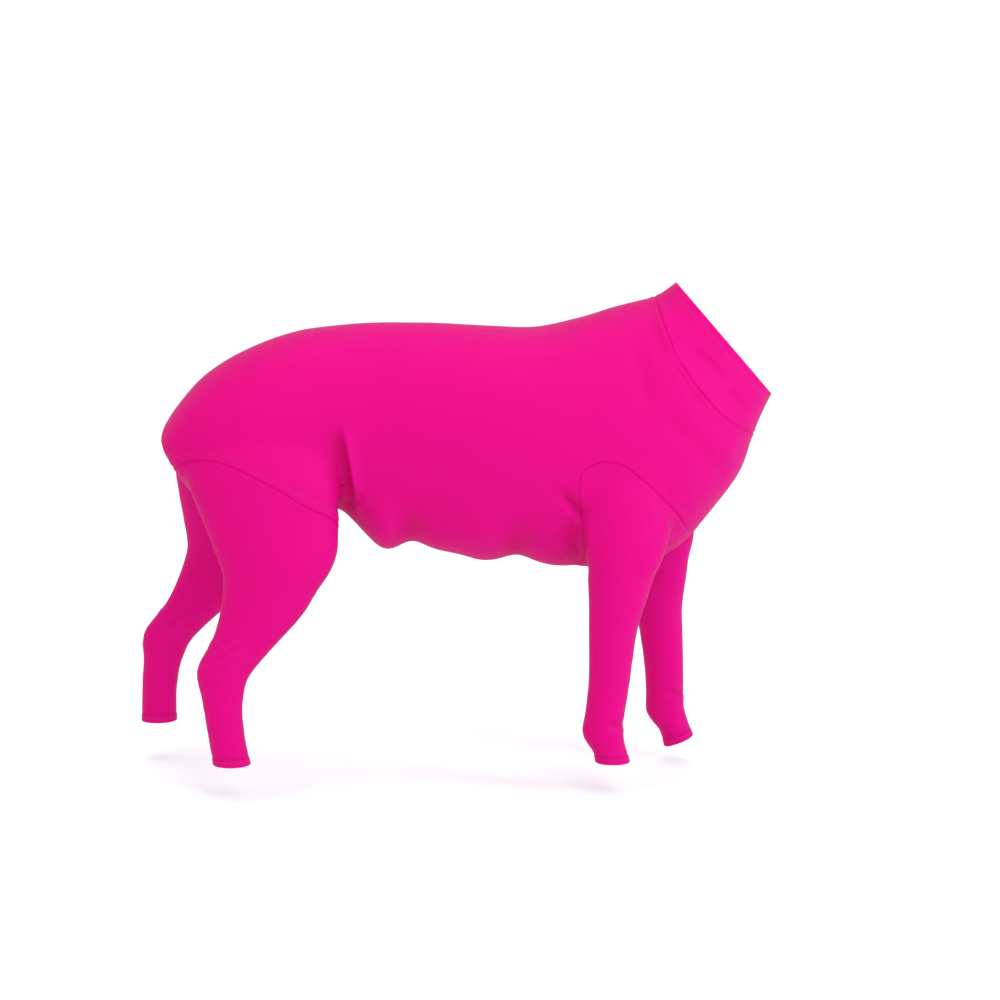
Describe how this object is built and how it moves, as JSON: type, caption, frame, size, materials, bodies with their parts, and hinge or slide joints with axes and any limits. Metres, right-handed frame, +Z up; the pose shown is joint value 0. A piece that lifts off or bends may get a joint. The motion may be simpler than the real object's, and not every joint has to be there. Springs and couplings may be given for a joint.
{
  "type": "dog jumpsuit",
  "caption": "Full-body stretch-knit suit for a large dog, with long legs, a stand-up collar and an opening for the tail, held in its worn shape.",
  "frame": {"origin": "on the inside of the back, halfway along it, where the suit lies on the wearer", "axes": "+X towards the head, +Y to the wearer's left, +Z up"},
  "size_m": [0.7472, 0.2371, 0.5658],
  "materials": {
    "body_knit": "smooth hot-pink stretch knit with a soft sheen",
    "collar_knit": "smooth hot-pink stretch knit, two layers thick",
    "sleeve_knit": "smooth hot-pink stretch knit with a soft sheen",
    "cuff_knit": "turned and stitched edge of the hot-pink stretch knit"
  },
  "bodies": {
    "root": {"body_panel": "body_knit", "neck_collar": "collar_knit", "front_sleeve_right": "sleeve_knit", "front_sleeve_left": "sleeve_knit", "front_cuff_right": "cuff_knit", "front_cuff_left": "cuff_knit", "hind_sleeve_right": "sleeve_knit", "hind_sleeve_left": "sleeve_knit", "hind_cuff_right": "cuff_knit", "hind_cuff_left": "cuff_knit"}
  },
  "joints": []
}
